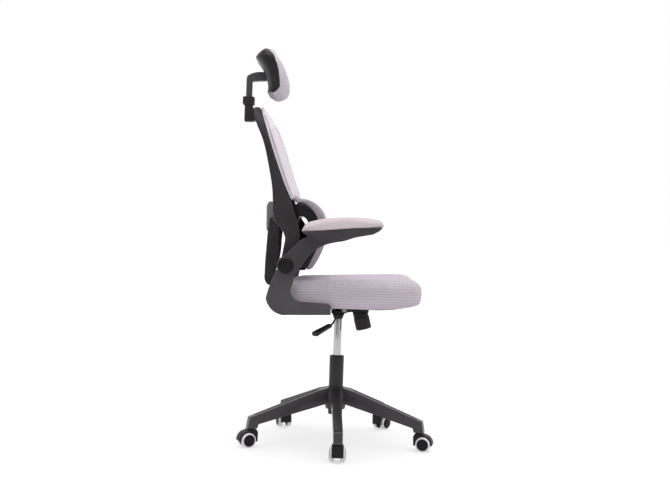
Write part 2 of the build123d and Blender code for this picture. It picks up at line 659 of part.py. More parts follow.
# ---- headrest holder, post and headrest ----
HOLDER_LOW, COLLAR_LOW, COLLAR_TOP = 1083.0, 1140.0, 1166.0
POST_LOW, ARM_LOW, ARM_TOP = 1112.0, 1222.0, 1251.0
with BuildPart() as headrest_holder:
    with BuildSketch(Plane.XY.offset(HOLDER_LOW)):
        with Locations((0, POST_Y)):
            RectangleRounded(36, 26, 4)
    extrude(amount=COLLAR_LOW - HOLDER_LOW)
    with BuildSketch(Plane.XY.offset(COLLAR_LOW)):
        with Locations((0, POST_Y + 0.5)):
            RectangleRounded(48, 38, 5)
    extrude(amount=COLLAR_TOP - COLLAR_LOW)
    with BuildSketch(side_plane(0)):
        with BuildLine():
            Polyline((316, HOLDER_LOW), (294.5, HOLDER_LOW + 4), (297, 1112), (310, 1130), (316, 1130),
                     close=True)
        make_face()
    extrude(amount=18, both=True)
    with BuildSketch(Plane.XY.offset(HOLDER_LOW + 2)):
        with Locations((0, POST_Y)):
            RectangleRounded(POST_WIDTH + 0.2, POST_DEPTH + 0.2, 3)
    extrude(amount=100, mode=Mode.SUBTRACT)
holder_solid = headrest_holder.part - back_frame.part
holder_solid = holder_solid.solids().sort_by(SortBy.VOLUME)[-1]
save(Part(holder_solid.wrapped), "headrest_holder")

with BuildPart() as headrest_post:
    with BuildSketch(Plane.XY.offset(POST_LOW)):
        with Locations((0, POST_Y)):
            RectangleRounded(POST_WIDTH, POST_DEPTH, 3)
    extrude(amount=ARM_LOW + 8 - POST_LOW)
    with BuildSketch(side_plane(0)):
        with BuildLine():
            under = Line((HEAD_PIN_Y, ARM_LOW + 1), (POST_Y + 8, ARM_LOW - 4))
            back = Line(under @ 1, (POST_Y + 8, 1236))
            crest = ThreePointArc(back @ 1, (312, 1248), (290, ARM_TOP))
            over = Line(crest @ 1, (HEAD_PIN_Y, ARM_TOP))
            Line(over @ 1, under @ 0)
        make_face()
    extrude(amount=POST_WIDTH / 2 + 1, both=True)
    with BuildSketch(side_plane(0)):
        with Locations((HEAD_PIN_Y, HEAD_PIN_Z - 9)):
            SlotOverall(27, 22, rotation=90)
    extrude(amount=POST_WIDTH / 2 + 1, both=True)
    with BuildSketch(side_plane(0)):
        with Locations((HEAD_PIN_Y, HEAD_PIN_Z)):
            Circle(4)
    extrude(amount=30, both=True, mode=Mode.SUBTRACT)
save(headrest_post.part, "headrest_post")

LUG_HALF = POST_WIDTH / 2 + 1
with BuildPart() as headrest_pin:
    with BuildSketch(side_plane(0)):
        with Locations((HEAD_PIN_Y, HEAD_PIN_Z)):
            Circle(4)
    extrude(amount=LUG_HALF + 5.2, both=True)
save(headrest_pin.part, "headrest_pin")


def head_outline(depth_front):
    """Rounded front outline of the headrest, cut from its side profile."""
    with BuildPart() as block:
        with BuildSketch(Plane.XZ.offset(-400)):
            with Locations((0, 1242)):
                RectangleRounded(2 * HEAD_HALF, 156, 55)
        extrude(amount=depth_front)
    return block.part


with BuildPart() as headrest_shell:
    with BuildSketch(side_plane(0)):
        with BuildLine():
            back = Spline((303, 1288), (280, 1256), (263, 1215), (259, 1192), (262, 1175))
            sole = ThreePointArc(back @ 1, (237, 1174), (217, 1190))
            front = Spline(sole @ 1, (223, 1239), (242, 1292), (264, 1314))
            crown = ThreePointArc(front @ 1, (289, 1308), (303, 1288))
        make_face()
    extrude(amount=HEAD_HALF, both=True)
    add(head_outline(300), mode=Mode.INTERSECT)
    with BuildSketch(side_plane(0)):
        with Locations((HEAD_PIN_Y, HEAD_PIN_Z)):
            Circle(28)
    extrude(amount=LUG_HALF + 0.4, both=True, mode=Mode.SUBTRACT)
    for side in (1, -1):
        with BuildSketch(side_plane(side * (LUG_HALF + 0.4))):
            with Locations((HEAD_PIN_Y, HEAD_PIN_Z)):
                Circle(11)
            with BuildLine():
                Polyline((HEAD_PIN_Y - 8, HEAD_PIN_Z + 8), (HEAD_PIN_Y + 4, HEAD_PIN_Z - 10),
                         (HEAD_PIN_Y - 18, HEAD_PIN_Z - 28), (HEAD_PIN_Y - 30, HEAD_PIN_Z), close=True)
            make_face()
        extrude(amount=side * 6)
    with BuildSketch(side_plane(0)):
        with Locations((HEAD_PIN_Y, HEAD_PIN_Z)):
            Circle(4 + RUNNING)
    extrude(amount=LUG_HALF + 5.4, both=True, mode=Mode.SUBTRACT)
save(headrest_shell.part, "headrest_shell")

with BuildPart() as headrest_cushion:
    with BuildSketch(side_plane(0)):
        with BuildLine():
            back = Spline((264, 1314.5), (241.6, 1292.5), (222.5, 1239), (216.4, 1190))
            sole = ThreePointArc(back @ 1, (236.6, 1173.5), (261.5, 1174.4))
            chin = ThreePointArc(sole @ 1, (240, 1166.5), (214, 1171))
            cheek = ThreePointArc(chin @ 1, (202, 1184), (199, 1206))
            brow = Spline(cheek @ 1, (207, 1248), (230, 1288), (248, 1315))
            ThreePointArc(brow @ 1, (256, 1318), (264, 1314.5))
        make_face()
    extrude(amount=HEAD_HALF, both=True)
    add(head_outline(300), mode=Mode.INTERSECT)
save(headrest_cushion.part, "headrest_cushion")

# ---- lumbar support ----
def lumbar_outline(half):
    """Front outline of the lumbar support, with rounded corners."""
    with BuildPart() as block:
        with BuildSketch(Plane.XZ.offset(-400)):
            with Locations((0, 705)):
                RectangleRounded(2 * half, 234, 22)
        extrude(amount=400)
    return block.part


with BuildPart() as lumbar_shell:
    with BuildSketch(side_plane(0)):
        with BuildLine():
            roof = ThreePointArc((150, 806), (106, 796), (75, 742))
            wall = Line(roof @ 1, (77, 665))
            slope = Line(wall @ 1, (112, 592))
            floor_line = Line(slope @ 1, (136, 590))
            spine = Line(floor_line @ 1, (150, 806))
        make_face()
        with BuildLine():
            vault = ThreePointArc((140, 768), (122, 764), (107, 738))
            inner = Line(vault @ 1, (109, 665))
            ramp = Line(inner @ 1, (121, 634))
            Polyline(ramp @ 1, (131, 640), vault @ 0)
        make_face(mode=Mode.SUBTRACT)
    extrude(amount=LUMBAR_HALF, both=True)
    with BuildSketch(side_plane(0)):
        with BuildLine():
            Polyline((140, 762), (133, 756), (119, 736), (115, 698), (117, 648), (131, 641), close=True)
        make_face()
    extrude(amount=32, both=True)
    add(lumbar_outline(LUMBAR_HALF), mode=Mode.INTERSECT)
save(lumbar_shell.part, "lumbar_shell")

with BuildPart() as lumbar_pad:
    with BuildSketch(side_plane(0)):
        with BuildLine():
            roof = ThreePointArc((150, 806.4), (105.6, 796.3), (74.6, 742))
            wall = Line(roof @ 1, (76.6, 664.8))
            slope = Line(wall @ 1, (112, 590.5))
            hem = Line(slope @ 1, (97, 596))
            front_low = ThreePointArc(hem @ 1, (66, 655), (52, 735))
            crown = ThreePointArc(front_low @ 1, (92, 809), (150, 819))
            Line(crown @ 1, roof @ 0)
        make_face()
    extrude(amount=LUMBAR_HALF + 4, both=True)
    add(lumbar_outline(LUMBAR_HALF + 4), mode=Mode.INTERSECT)
save(lumbar_pad.part, "lumbar_pad")

LUMBAR_TRAVEL = 18.0
with BuildPart() as lumbar_carrier:
    with BuildSketch(side_plane(0)):
        with BuildLine():
            Polyline((150.4, 806), (136.4, 590), (142, 590), (156, 715), (252, 715), (254, 800),
                     (246, 814), (170, 814), close=True)
        make_face()
        with BuildLine():
            Polyline((RAIL_Y - 18, RAIL_Z + RAIL_HEIGHT / 2 + LUMBAR_TRAVEL + 4),
                     (RAIL_Y - 18, RAIL_Z - RAIL_HEIGHT / 2 - 4),
                     (RAIL_Y + 20, RAIL_Z - RAIL_HEIGHT / 2 - 4),
                     (RAIL_Y + 20, RAIL_Z + RAIL_HEIGHT / 2 + LUMBAR_TRAVEL + 4), close=True)
        make_face(mode=Mode.SUBTRACT)
    extrude(amount=32, both=True)
save(lumbar_carrier.part, "lumbar_carrier")


# ---- flip-up armrests ----
def make_arm_shell(side):
    """Armrest body: flat tray under the pad, and an arm down to the pivot hub."""
    middle = side * (PAD_INNER + PAD_OUTER) / 2
    with BuildPart() as shell:
        with BuildSketch(side_plane(middle)):
            with BuildLine():
                rim = Polyline((113, 716), (62, 722), (-34, 732), (-130, 738))
                nose = ThreePointArc(rim @ 1, (-118, 726), (-98, 715))
                belly = Line(nose @ 1, (30, 690))
                tail = ThreePointArc(belly @ 1, (84, 696), (113, 716))
            make_face()
        extrude(amount=(PAD_OUTER - PAD_INNER) / 2 - 5, both=True)
        with BuildSketch(side_plane(side * ARM_HUB_INNER)):
            with BuildLine():
                lower = Spline((-60, 704), (-8, 691), (62, 672), (88, 653), (108, 629), (127, 600))
                hub = ThreePointArc(lower @ 1, (160, 580), (198, 600))
                hub_top = ThreePointArc(hub @ 1, (196, 625), (181, 637))
                upper = Spline(hub_top @ 1, (161, 656), (135, 684), (113, 700))
                Polyline(upper @ 1, (60, 712), lower @ 0)
            make_face()
        extrude(amount=side * (ARM_HUB_OUTER - ARM_HUB_INNER))
        with BuildSketch(side_plane(side * (ARM_HUB_INNER - 1))):
            with Locations((ARM_Y, ARM_Z)):
                Circle(PIVOT_BOLT_RADIUS + RUNNING)
        extrude(amount=side * 40, mode=Mode.SUBTRACT)
    return shell.part


def make_arm_pad(side):
    """Soft pad on the tray."""
    with BuildPart() as pad:
        with BuildSketch(side_plane(0)):
            with BuildLine():
                seam = Polyline((118, 715.8), (62, 722.4), (-34, 732.4), (-134, 738.5))
                nose = ThreePointArc(seam @ 1, (-130, 750), (-110, 757))
                crown = ThreePointArc(nose @ 1, (-30, 762), (60, 754))
                Polyline(crown @ 1, (104, 736), seam @ 0)
            make_face()
        extrude(amount=320 * side)
        with BuildSketch(Plane.XY.offset(600)):
            with Locations((side * (PAD_INNER + PAD_OUTER) / 2, -8)):
                RectangleRounded(PAD_OUTER - PAD_INNER, 252, 34)
        extrude(amount=200, mode=Mode.INTERSECT)
    return pad.part


def make_arm_cap(side):
    """Round cap over the pivot bolt."""
    with BuildPart() as cap:
        with BuildSketch(side_plane(side * ARM_HUB_OUTER)):
            with Locations((ARM_Y, ARM_Z)):
                Circle(24.5)
        extrude(amount=side * 6)
        chamfer(cap.faces().sort_by(Axis.X)[-1 if side > 0 else 0].edges(), length=2)
    return cap.part


for side_name, side in SIDES.items():
    save(make_arm_shell(side), f"arm_{side_name}_shell")
    save(make_arm_pad(side), f"arm_{side_name}_pad")
    save(make_arm_cap(side), f"arm_{side_name}_cap")
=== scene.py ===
from math import cos, pi, radians, sin, tau

import bmesh
import bpy
import numpy as np
from mathutils import Matrix, Vector
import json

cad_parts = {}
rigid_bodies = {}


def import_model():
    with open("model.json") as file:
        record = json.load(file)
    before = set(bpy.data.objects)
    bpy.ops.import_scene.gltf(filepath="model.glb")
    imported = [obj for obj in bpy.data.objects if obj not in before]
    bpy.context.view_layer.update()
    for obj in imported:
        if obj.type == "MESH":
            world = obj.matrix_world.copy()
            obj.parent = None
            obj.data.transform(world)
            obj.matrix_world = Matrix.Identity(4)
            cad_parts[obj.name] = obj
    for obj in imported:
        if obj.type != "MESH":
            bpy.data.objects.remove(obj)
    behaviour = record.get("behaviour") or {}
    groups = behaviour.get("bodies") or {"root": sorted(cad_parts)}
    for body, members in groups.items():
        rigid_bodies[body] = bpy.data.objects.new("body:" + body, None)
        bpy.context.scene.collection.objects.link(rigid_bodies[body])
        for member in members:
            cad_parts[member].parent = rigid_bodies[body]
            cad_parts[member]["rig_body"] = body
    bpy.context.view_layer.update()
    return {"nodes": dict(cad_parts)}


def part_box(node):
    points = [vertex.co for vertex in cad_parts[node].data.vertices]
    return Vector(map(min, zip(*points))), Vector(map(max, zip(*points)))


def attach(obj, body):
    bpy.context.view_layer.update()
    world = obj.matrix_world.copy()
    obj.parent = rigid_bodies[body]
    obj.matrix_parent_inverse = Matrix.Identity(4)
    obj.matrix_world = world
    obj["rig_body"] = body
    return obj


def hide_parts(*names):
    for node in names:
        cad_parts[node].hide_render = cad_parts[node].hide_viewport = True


# Swivel task chair with a mesh back. Metres, +Z up, the lift's axis through the
# origin at floor level, the chair faces -Y. Outlines are in millimetres, as (Y, Z)
# pairs on planes of constant X or as pairs that line() joins up.

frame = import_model()
nodes = frame["nodes"]
scene = bpy.context.scene
MM = 0.001


# ---- materials ----
def linear(colour):
    """Linear RGBA from an sRGB triple of 0 to 255."""
    shares = [c / 255 for c in colour]
    return [c / 12.92 if c <= 0.04 else ((c + 0.055) / 1.055) ** 2.4 for c in shares] + [1]


class Recipe:
    """A material's node tree, with short calls for the nodes it needs."""

    def __init__(self, name, roughness, metallic=0.0, **sockets):
        self.material = bpy.data.materials.new(name)
        self.material.use_nodes = True
        self.tree = self.material.node_tree
        self.shader = self.tree.nodes["Principled BSDF"]
        self.shader.inputs["Roughness"].default_value = roughness
        self.shader.inputs["Metallic"].default_value = metallic
        for socket, value in sockets.items():
            self.shader.inputs[socket.replace("_", " ")].default_value = value
        self.coords = self.tree.nodes.new("ShaderNodeTexCoord")

    def put(self, kind, **inputs):
        node = self.tree.nodes.new(kind)
        for key, value in inputs.items():
            self.feed(node.inputs[key.replace("_", " ")], value)
        return node

    def feed(self, socket, value):
        if isinstance(value, bpy.types.NodeSocket):
            self.tree.links.new(value, socket)
        else:
            socket.default_value = value

    def math(self, operation, *values):
        node = self.tree.nodes.new("ShaderNodeMath")
        node.operation = operation
        for socket, value in zip(node.inputs, values):
            self.feed(socket, value)
        return node.outputs[0]

    def noise(self, scale, detail=3.0):
        place = self.coords.outputs["Object"]
        node = self.put("ShaderNodeTexNoise", Scale=scale, Detail=detail, Vector=place)
        return node.outputs["Fac"]

    def colours(self, factor, low, high, start=0.0, end=1.0):
        """The colour low at factor start, blending to high at factor end."""
        node = self.put("ShaderNodeValToRGB", Fac=factor)
        stops = node.color_ramp.elements
        stops[0].position, stops[1].position = start, end
        stops[0].color, stops[1].color = linear(low), linear(high)
        self.feed(self.shader.inputs["Base Color"], node.outputs["Color"])

    def relief(self, height, depth, strength=1.0):
        bump = self.put("ShaderNodeBump", Height=height, Distance=depth, Strength=strength)
        self.feed(self.shader.inputs["Normal"], bump.outputs["Normal"])


def moulded_plastic(name, colour, roughness, grain=900.0, depth=0.00012, spread=7, coat=0.0,
                    shine=0.25):
    """Injection-moulded plastic: fine spark-eroded grain and slightly uneven gloss."""
    recipe = Recipe(name, roughness, Coat_Weight=coat, Coat_Roughness=0.12,
                    Specular_IOR_Level=shine)
    fine, broad = recipe.noise(grain, 4.0), recipe.noise(14.0, 2.0)
    low = [max(c - spread, 0) for c in colour]
    high = [c + spread for c in colour]
    mottle = recipe.math("ADD", recipe.math("MULTIPLY", fine, 0.5),
                         recipe.math("MULTIPLY", broad, 0.5))
    recipe.colours(mottle, low, high, 0.3, 0.7)
    uneven = 0.16
    gloss = recipe.math("MULTIPLY_ADD", broad, uneven, roughness - uneven / 2)
    recipe.feed(recipe.shader.inputs["Roughness"], gloss)
    recipe.relief(fine, depth)
    return recipe.material


def metal(name, colour, roughness):
    """Drawn or turned metal with faint lengthwise streaks: partly drawing marks, partly painted
    reflection bands.
    """
    stretch, darker, uneven = 0.04, 14, 0.1
    recipe = Recipe(name, roughness, metallic=1.0)
    place = recipe.put("ShaderNodeMapping", Vector=recipe.coords.outputs["Object"],
                       Scale=(1, 1, stretch)).outputs["Vector"]
    streaks_and_reflection_bands = recipe.put("ShaderNodeTexNoise", Scale=260.0, Detail=2.0, Vector=place).outputs["Fac"]
    # painted reflection: the darker streaks stand in partly for drawing marks and partly for the
    # dark bands that chrome reflects
    recipe.colours(streaks_and_reflection_bands, [max(c - darker, 0) for c in colour], colour, 0.35, 0.65)
    gloss = recipe.math("MULTIPLY_ADD", streaks_and_reflection_bands, uneven, roughness - uneven / 2)
    recipe.feed(recipe.shader.inputs["Roughness"], gloss)
    return recipe.material


def knit(name, colour, pitch, row, rib_depth, hollow_shade, holes=0.5, ripple=0.0):
    """Spacer-knit fabric: ribs a row apart, over a net of small cells at the given pitch.

    The pattern is laid on from the side, the front and the top, whichever the
    surface faces most, so it needs no UV map. The troughs between the ribs and
    the cells are painted darker than the colour, as painted shade in the knit's
    hollows: the argument after rib_depth is how far the cells fall below the
    colour, holes how much they show, and ripple how far the ribs stray.
    """
    recipe = Recipe(name, 0.88, Sheen_Weight=0.08, Sheen_Roughness=0.45, Specular_IOR_Level=0.22)
    place = recipe.put("ShaderNodeSeparateXYZ", Vector=recipe.coords.outputs["Object"]).outputs
    facing = recipe.put("ShaderNodeSeparateXYZ", Vector=recipe.coords.outputs["Normal"]).outputs
    drift = recipe.math("MULTIPLY", recipe.math("SUBTRACT", recipe.noise(9.0, 2.0), 0.5), ripple)

    def wave(value, length):
        turns = recipe.math("MULTIPLY", value, tau / length)
        return recipe.math("MULTIPLY_ADD", recipe.math("SINE", turns), 0.5, 0.5)

    def pattern(along, across):
        """The ribs, and the cells, of which every other line is shifted by half."""
        ribs = wave(recipe.math("ADD", across, drift), row)
        nearest = recipe.math("ROUND", recipe.math("DIVIDE", across, pitch))
        shifted = recipe.math("ADD", along, recipe.math("MULTIPLY", nearest, pitch / 2))
        return ribs, recipe.math("MULTIPLY", wave(shifted, pitch), wave(across, pitch))

    ribs, dots = 0.0, 0.0
    weights = [recipe.math("POWER", recipe.math("ABSOLUTE", facing[axis]), 6.0)
               for axis in range(3)]
    whole = recipe.math("ADD", recipe.math("ADD", weights[0], weights[1]), weights[2])
    for weight, (along, across) in zip(weights, ((1, 2), (0, 2), (0, 1))):
        more_ribs, more_dots = pattern(place[along], place[across])
        share = recipe.math("DIVIDE", weight, whole)
        ribs = recipe.math("MULTIPLY_ADD", more_ribs, share, ribs)
        dots = recipe.math("MULTIPLY_ADD", more_dots, share, dots)
    solid = recipe.math("SUBTRACT", 1.0, dots)
    blotch = recipe.math("SUBTRACT", recipe.noise(30.0, 3.0), 0.5)
    tone = recipe.math("ADD", recipe.math("MULTIPLY", ribs, 0.45),
                       recipe.math("MULTIPLY", solid, holes))
    tone = recipe.math("MULTIPLY_ADD", blotch, 0.25, tone)
    # painted shade: the rib troughs and the cells get the darker colour, standing in for the shade
    # in the knit's hollows
    recipe.colours(tone, [c - hollow_shade for c in colour], [c + 6 for c in colour], 0.15, 0.85)
    height = recipe.math("ADD", recipe.math("MULTIPLY", ribs, rib_depth),
                         recipe.math("MULTIPLY", solid, 0.35 * pitch))
    recipe.relief(height, 1.0, 0.6)
    return recipe.material


nylon = moulded_plastic("base_nylon", (48, 44, 47), 0.34, grain=420, depth=0.00025, coat=0.08,
                        shine=0.4)
frame_plastic = moulded_plastic("frame_plastic", (42, 38, 41), 0.5, shine=0.2)
arm_plastic = moulded_plastic("arm_plastic", (52, 48, 51), 0.48, shine=0.25)
bracket_plastic = moulded_plastic("bracket_plastic", (66, 62, 66), 0.48, shine=0.3)
stalk_plastic = moulded_plastic("stalk_plastic", (60, 58, 62), 0.42, shine=0.4)
shell_plastic = moulded_plastic("shell_plastic", (30, 27, 29), 0.36, grain=500, depth=0.00005,
                                shine=0.2)
black_plastic = moulded_plastic("black_plastic", (24, 21, 23), 0.42, spread=5, shine=0.18)
grey_plastic = moulded_plastic("grey_plastic", (126, 120, 123), 0.4, shine=0.3)
gloss_plastic = moulded_plastic("gloss_plastic", (18, 15, 17), 0.3, grain=500, depth=0.00005,
                                spread=4, shine=0.2)
wheel_plastic = moulded_plastic("wheel_plastic", (17, 15, 17), 0.34, spread=4, shine=0.16)
tyre_rubber = moulded_plastic("tyre_rubber", (206, 202, 207), 0.6, spread=8)
enamel = moulded_plastic("black_enamel", (36, 33, 36), 0.34, grain=700, depth=0.00006, spread=5,
                         shine=0.3)
chrome = metal("chrome", (188, 185, 191), 0.16)
zinc = metal("zinc", (140, 140, 144), 0.34)
dark_steel = metal("steel", (92, 90, 94), 0.38)
seat_fabric = knit("seat_fabric", (181, 171, 181), 0.0042, 0.0085, 0.0006, 15, ripple=0.007)
back_fabric = knit("back_fabric", (212, 204, 211), 0.0030, 0.0052, 0.0002, 14, holes=0.35)
lumbar_fabric = knit("lumbar_fabric", (158, 150, 158), 0.0030, 0.0052, 0.0002, 16, holes=0.35)
head_fabric = knit("head_fabric", (194, 184, 194), 0.0030, 0.0052, 0.0002, 16, holes=0.35)
pad_fabric = knit("pad_fabric", (194, 183, 187), 0.0026, 0.0040, 0.0001, 14, holes=0.4)
binding = knit("binding", (182, 176, 182), 0.0020, 0.0030, 0.0001, 14, holes=0.3)
plywood = moulded_plastic("plywood", (44, 39, 38), 0.8, grain=300, depth=0.0003, spread=10)


# ---- mesh helpers ----
def placed(name, mesh, material):
    """The mesh as an object of the scene, in one material."""
    mesh.materials.append(material)
    piece = bpy.data.objects.new(name, mesh)
    scene.collection.objects.link(piece)
    return piece


def make(name, verts, faces, material):
    mesh = bpy.data.meshes.new(name)
    mesh.from_pydata([tuple(v) for v in verts], [], faces)
    return placed(name, mesh, material)


def points(piece):
    co = np.empty(len(piece.data.vertices) * 3)
    piece.data.vertices.foreach_get("co", co)
    return co.reshape(-1, 3)


def set_points(piece, co):
    piece.data.vertices.foreach_set("co", np.asarray(co, float).ravel())
    piece.data.update()


def modify(piece, kind, **settings):
    """Adds one modifier and applies it."""
    modifier = piece.modifiers.new(kind, kind)
    for key, value in settings.items():
        setattr(modifier, key, value)
    settle(piece)


def settle(piece):
    """Applies the piece's modifiers to its mesh."""
    graph = bpy.context.evaluated_depsgraph_get()
    graph.update()
    mesh = bpy.data.meshes.new_from_object(piece.evaluated_get(graph))
    piece.modifiers.clear()
    piece.data = mesh


def mount(piece, stands_for, body=None):
    """Puts a piece on its body, which is that of the first node it stands for, if any."""
    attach(piece, body or nodes[stands_for[0]]["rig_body"])
    if stands_for:
        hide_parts(*stands_for)
    return piece


def smooth(piece, angle=180):
    piece.data.shade_smooth()
    if angle < 180:
        piece.data.set_sharp_from_angle(angle=radians(angle))


def copied(name, sources, material):
    """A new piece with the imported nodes' surfaces, joined into closed skins."""
    made = bmesh.new()
    for source in sources:
        made.from_mesh(nodes[source].data)
    bmesh.ops.remove_doubles(made, verts=made.verts, dist=2e-6)
    mesh = bpy.data.meshes.new(name)
    made.to_mesh(mesh)
    made.free()
    return placed(name, mesh, material)


def crisp(name, sources, material, width=0.0012, segments=2):
    """Turned and machined parts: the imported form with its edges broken."""
    piece = copied(name, sources, material)
    made = bmesh.new()
    made.from_mesh(piece.data)
    flat = radians(0.6)
    bmesh.ops.dissolve_limit(made, angle_limit=flat, verts=made.verts, edges=made.edges)
    made.to_mesh(piece.data)
    made.free()
    modify(piece, "BEVEL", width=width, segments=segments, limit_method="ANGLE",
           angle_limit=radians(28), loop_slide=False, use_clamp_overlap=True)
    smooth(piece, 34)
    return mount(piece, sources)


def moulded(name, sources, material, voxel=0.0026, passes=7, shape=None):
    """Mouldings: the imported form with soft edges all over."""
    piece = copied(name, sources, material)
    modify(piece, "REMESH", mode="VOXEL", voxel_size=voxel)
    modify(piece, "SMOOTH", factor=0.5, iterations=passes)
    if shape:
        set_points(piece, shape(points(piece)))
    smooth(piece)
    return mount(piece, sources)


def curve_through(corners, count):
    """Points along a smooth line through the corners, evenly spaced by length."""
    p = np.asarray(corners, float)
    p = np.vstack((2 * p[0] - p[1], p, 2 * p[-1] - p[-2]))
    t = np.linspace(0, 1, 25)[:-1, None]
    runs = []
    for a, b, c, d in zip(p, p[1:], p[2:], p[3:]):
        square, cube = 2 * a - 5 * b + 4 * c - d, 3 * b - a - 3 * c + d
        runs.append(0.5 * (2 * b + (c - a) * t + square * t**2 + cube * t**3))
    track = np.vstack((*runs, p[-2]))
    steps = np.linalg.norm(np.diff(track, axis=0), axis=1)
    length = np.concatenate(([0], np.cumsum(steps)))
    at = np.linspace(0, length[-1], count)
    return np.stack([np.interp(at, length, values) for values in track.T], axis=1)


def closed_skin(name, rings, material):
    """A closed mesh from rings of equally many points, its two ends capped."""
    count = len(rings[0])
    last = (len(rings) - 1) * count
    faces = []
    for start in range(0, last, count):
        for i in range(count):
            ahead = (i + 1) % count
            faces.append((start + i, start + ahead, start + count + ahead, start + count + i))
    faces.append(tuple(reversed(range(count))))
    faces.append(tuple(range(last, last + count)))
    piece = make(name, np.vstack(rings), faces, material)
    made = bmesh.new()
    made.from_mesh(piece.data)
    bmesh.ops.recalc_face_normals(made, faces=made.faces)
    made.to_mesh(piece.data)
    made.free()
    return piece


def inset(ring, distance):
    """A closed outline moved inwards by a distance, as (n, 2) points."""
    ahead, behind = np.roll(ring, -1, axis=0), np.roll(ring, 1, axis=0)
    along = ahead - behind
    along /= np.maximum(np.linalg.norm(along, axis=1), 1e-9)[:, None]
    normal = np.stack((-along[:, 1], along[:, 0]), axis=1)
    area = np.sum(ring[:, 0] * ahead[:, 1] - ahead[:, 0] * ring[:, 1])
    return ring + normal * distance * (1 if area > 0 else -1)


def swollen(piece, cap, voxel, hold):
    """Remeshes a closed soft form, lets cloth under pressure swell it, and applies the result.

    No point moves further than cap, and hold(points) is the share of its move
    that each one keeps.
    """
    modify(piece, "REMESH", mode="VOXEL", voxel_size=voxel)
    before = points(piece)
    cloth = piece.modifiers.new("cloth", "CLOTH")
    cloth.settings.use_pressure = True
    cloth.settings.uniform_pressure_force = 4.0
    cloth.settings.effector_weights.gravity = 0
    cloth.settings.quality = 4
    for step in range(1, 21):
        scene.frame_set(step)
    settle(piece)
    moved = points(piece) - before
    length = np.linalg.norm(moved, axis=1)
    moved *= np.minimum(1, cap / np.maximum(length, 1e-9))[:, None]
    moved *= hold(before)[:, None]
    set_points(piece, before + moved)
    scene.frame_set(1)
    modify(piece, "SMOOTH", factor=0.5, iterations=4)
    modify(piece, "SUBSURF", levels=1, render_levels=1)
    smooth(piece)


def ramp(value, low, high):
    """0 below low, 1 above high, and smooth in between."""
    t = np.clip((value - low) / (high - low), 0, 1)
    return t * t * (3 - 2 * t)


def crowned(co, depth, along, base, half, radius, centre=0.0, least=0.0):
    """Thins a form towards its two sides, so that its free face is crowned across X.

    base(v) is the attached face's coordinate on the depth axis, at v on the axis
    along, and half(v) the form's half width there. The thinning starts a radius
    in from the side, where least of the thickness is left.
    """
    co = co.copy()
    inside = half(co[:, along]) - np.abs(co[:, 0] - centre)
    t = np.clip(inside / radius, 0, 1)
    share = least + (1 - least) * np.sqrt(1 - (1 - t) ** 2)
    floor = base(co[:, along])
    co[:, depth] = floor + (co[:, depth] - floor) * share
    return co


def line(*pairs):
    """A function through the pairs of millimetres, taking and giving metres."""
    at, value = np.array(sorted(pairs), float).T * MM
    return lambda v: np.interp(v, at, value)


# ---- base and casters ----
CORE_RADIUS = 0.0197  # from here out a wheel is tyre

crisp("base_star", ["star_base"], nylon, width=0.0014, segments=3)
crisp("base_stems", ["caster_stems"], zinc, width=0.0006)
for number in range(1, 6):
    prefix = f"caster_{number}"
    crisp(f"{prefix}_hood", [f"{prefix}_housing"], black_plastic)
    crisp(f"{prefix}_pin", [f"{prefix}_axle"], zinc, width=0.0004)
    pin = np.mean(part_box(f"{prefix}_axle"), axis=0)
    for side in "ab":
        source = f"{prefix}_wheel_{side}"
        wheel = crisp(f"{prefix}_roller_{side}", [source], wheel_plastic,
                      width=0.0006)
        wheel.data.materials.append(tyre_rubber)
        axle = np.mean(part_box(source), axis=0) - pin
        axle /= np.linalg.norm(axle)
        for face in wheel.data.polygons:
            offset = np.array(face.center) - pin
            if np.linalg.norm(offset - axle * (offset @ axle)) > CORE_RADIUS:
                face.material_index = 1

# ---- gas lift ----
crisp("lift_cylinder", ["gas_cylinder"], enamel, width=0.0008)
crisp("lift_bush", ["guide_bush"], black_plastic, width=0.0005)
crisp("lift_bearing", ["thrust_bearing"], dark_steel, width=0.0004)
crisp("lift_piston", ["piston_rod"], dark_steel, width=0.0004)
crisp("lift_tube", ["gas_tube"], chrome, width=0.0004)
crisp("lift_button", ["release_pin"], dark_steel, width=0.0004)

# ---- tilt mechanism ----
crisp("tilt_housing", ["mechanism_housing"], black_plastic, width=0.0016,
      segments=3)
crisp("housing_axles", ["housing_pins"], zinc, width=0.0004)
crisp("tension_cup", ["spring_cup"], black_plastic, width=0.001)
crisp("tension_spring", ["tilt_spring"], dark_steel, width=0.0002)
crisp("tension_handwheel", ["tension_knob"], frame_plastic, width=0.0005)
crisp("tension_screw", ["tension_bolt"], zinc, width=0.0005)
crisp("lever_wire", ["lever_rod"], enamel, width=0.0004)
crisp("lever_handle", ["lever_grip"], frame_plastic, width=0.002, segments=3)

# ---- seat ----
crisp("seat_pan", ["seat_plate"], enamel, width=0.0008)
crisp("seat_ply", ["seat_board"], plywood, width=0.0012)
crisp("seat_screws", ["seat_bolts"], zinc, width=0.0006)


def rounded_rectangle(half, rear, front, radius):
    """Closed outline in XY, with corners of the given radius, and close points all along."""
    steps, spacing = 14, 0.012
    ring = []
    for cx, cy, turn in ((half - radius, rear - radius, 0), (radius - half, rear - radius, 1),
                         (radius - half, front + radius, 2), (half - radius, front + radius, 3)):
        for k in range(steps + 1):
            angle = (turn + k / steps) * pi / 2
            ring.append((cx + radius * cos(angle), cy + radius * sin(angle)))
    ring = np.array(ring)
    dense = []
    for here, ahead in zip(ring, np.roll(ring, -1, axis=0)):
        parts = max(1, round(np.linalg.norm(ahead - here) / spacing))
        dense.extend(here + (ahead - here) * k / parts for k in range(parts))
    return np.array(dense)


